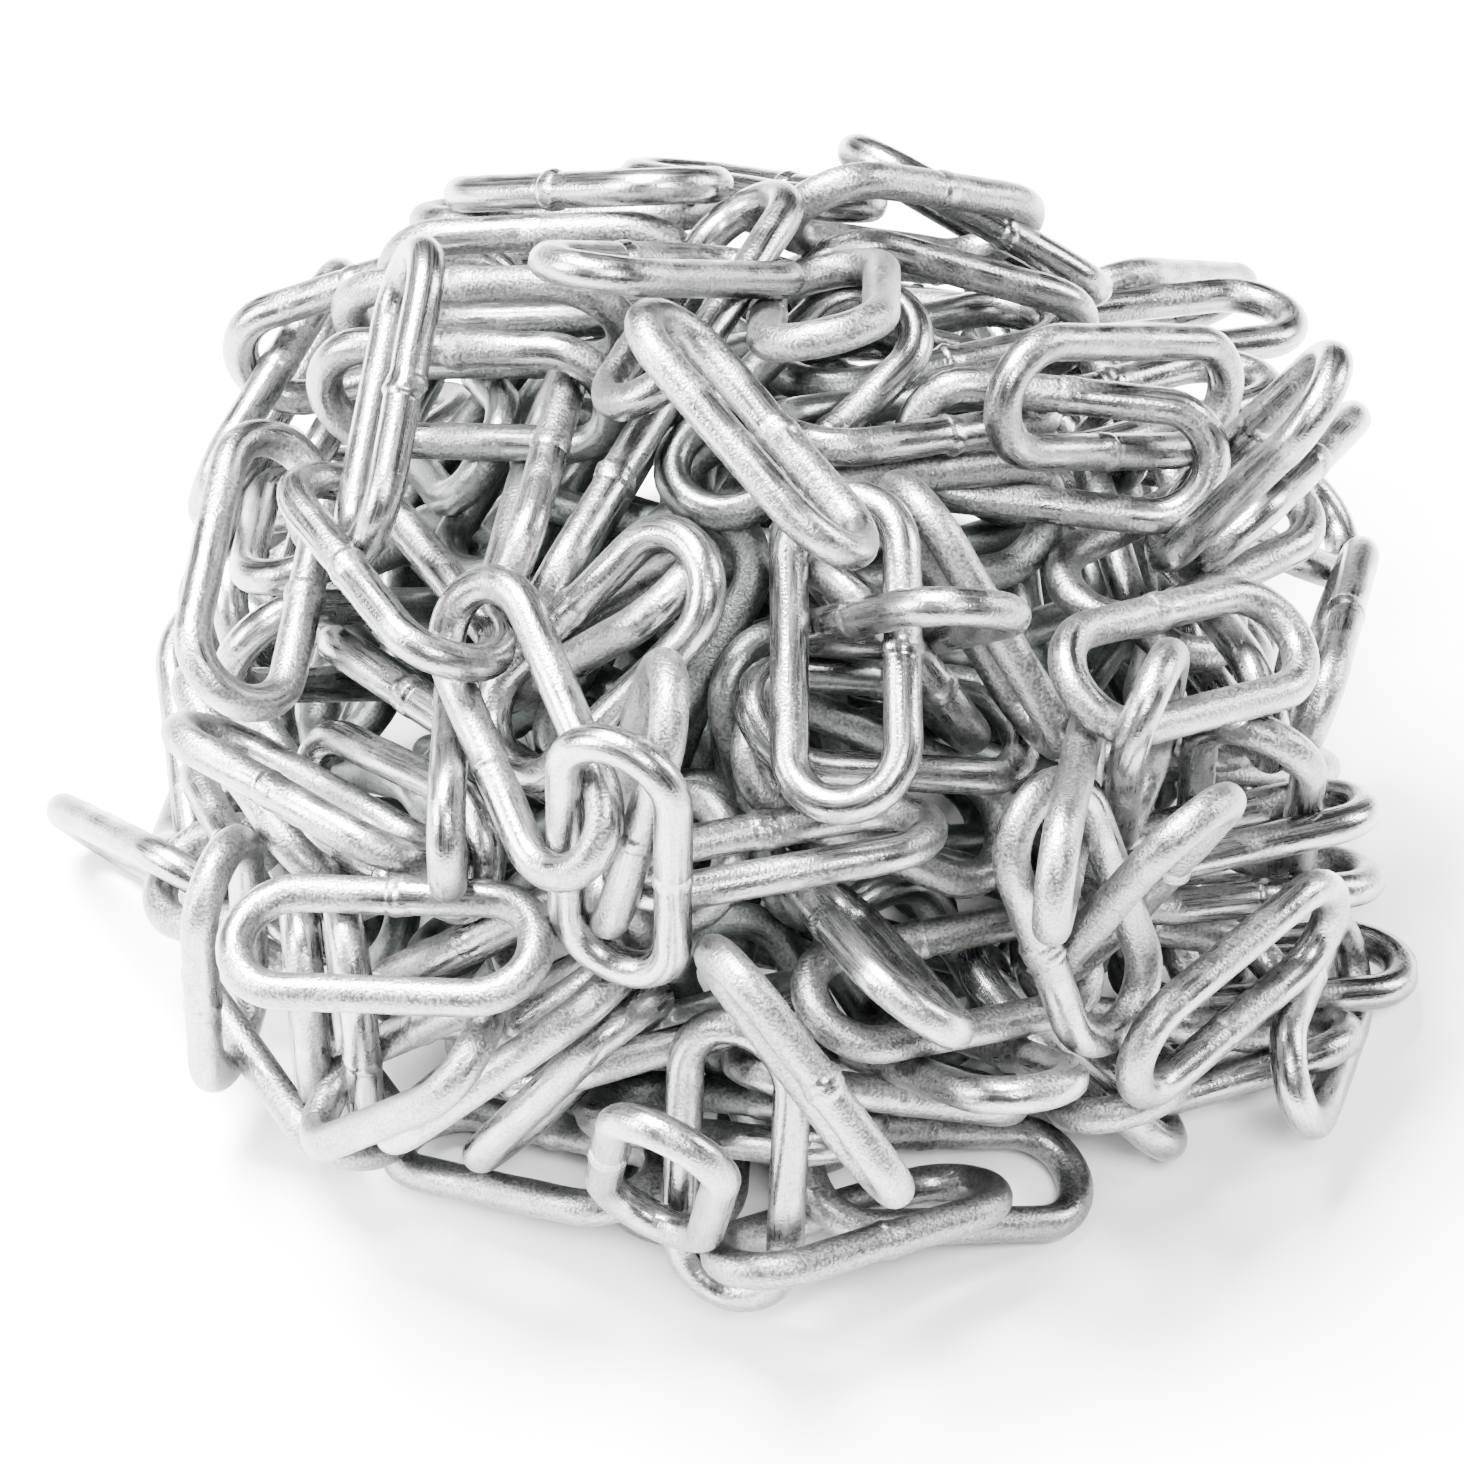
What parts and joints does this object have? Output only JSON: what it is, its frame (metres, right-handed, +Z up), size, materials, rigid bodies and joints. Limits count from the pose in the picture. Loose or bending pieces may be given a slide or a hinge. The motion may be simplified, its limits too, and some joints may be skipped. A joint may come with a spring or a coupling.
{
  "type": "heap of steel chain",
  "caption": "Loose heap of galvanised long-link welded steel chain, tipped out on a floor",
  "frame": {"origin": "middle of the heap's box, on the floor that it lies on", "axes": "+Z up; -Y is the heap's front, the side that the picture looks at from above; +X to the right seen from there"},
  "size_m": [0.1904, 0.1858, 0.1334],
  "materials": {
    "galvanised_zinc": "hot-dip galvanised steel, bright zinc with frosted, grainy patches",
    "shaded_zinc": "the same zinc, in the shade inside the heap"
  },
  "bodies": {
    "root": {"chain_run_01": "galvanised_zinc", "chain_run_02": "galvanised_zinc", "chain_run_03": "galvanised_zinc", "chain_run_04": "galvanised_zinc", "chain_run_05": "galvanised_zinc", "chain_run_06": "galvanised_zinc", "chain_run_07": "galvanised_zinc", "chain_run_08": "galvanised_zinc", "chain_run_09": "galvanised_zinc", "chain_run_10": "galvanised_zinc", "chain_run_11": "galvanised_zinc", "chain_run_12": "galvanised_zinc", "chain_run_13": "galvanised_zinc", "chain_run_14": "galvanised_zinc", "chain_run_15": "galvanised_zinc", "chain_run_16": "galvanised_zinc", "chain_run_17": "galvanised_zinc", "chain_run_18": "galvanised_zinc", "chain_run_19": "galvanised_zinc", "chain_run_20": "galvanised_zinc", "chain_run_21": "galvanised_zinc", "chain_run_22": "galvanised_zinc", "chain_run_23": "galvanised_zinc", "chain_run_24": "galvanised_zinc", "chain_run_25": "galvanised_zinc", "chain_run_26": "galvanised_zinc", "chain_run_27": "galvanised_zinc", "chain_run_28": "galvanised_zinc", "chain_run_29": "galvanised_zinc", "chain_run_30": "galvanised_zinc", "chain_run_31": "galvanised_zinc", "chain_run_32": "galvanised_zinc", "chain_run_33": "galvanised_zinc", "chain_run_34": "galvanised_zinc", "chain_run_35": "galvanised_zinc", "chain_run_36": "galvanised_zinc", "chain_run_37": "galvanised_zinc", "chain_run_38": "galvanised_zinc", "chain_run_39": "galvanised_zinc", "chain_run_40": "galvanised_zinc", "chain_run_41": "galvanised_zinc", "chain_run_42": "galvanised_zinc", "chain_run_43": "galvanised_zinc", "chain_run_44": "galvanised_zinc", "chain_run_45": "galvanised_zinc", "chain_run_46": "galvanised_zinc", "chain_run_47": "galvanised_zinc", "chain_run_48": "galvanised_zinc", "chain_run_49": "galvanised_zinc", "chain_run_50": "galvanised_zinc", "chain_run_51": "galvanised_zinc", "chain_run_52": "galvanised_zinc", "chain_run_53": "galvanised_zinc", "chain_run_54": "galvanised_zinc", "chain_run_55": "galvanised_zinc", "chain_run_56": "galvanised_zinc", "chain_run_57": "galvanised_zinc", "chain_run_58": "galvanised_zinc", "chain_run_59": "galvanised_zinc", "hidden_links_core": "shaded_zinc"}
  },
  "joints": []
}
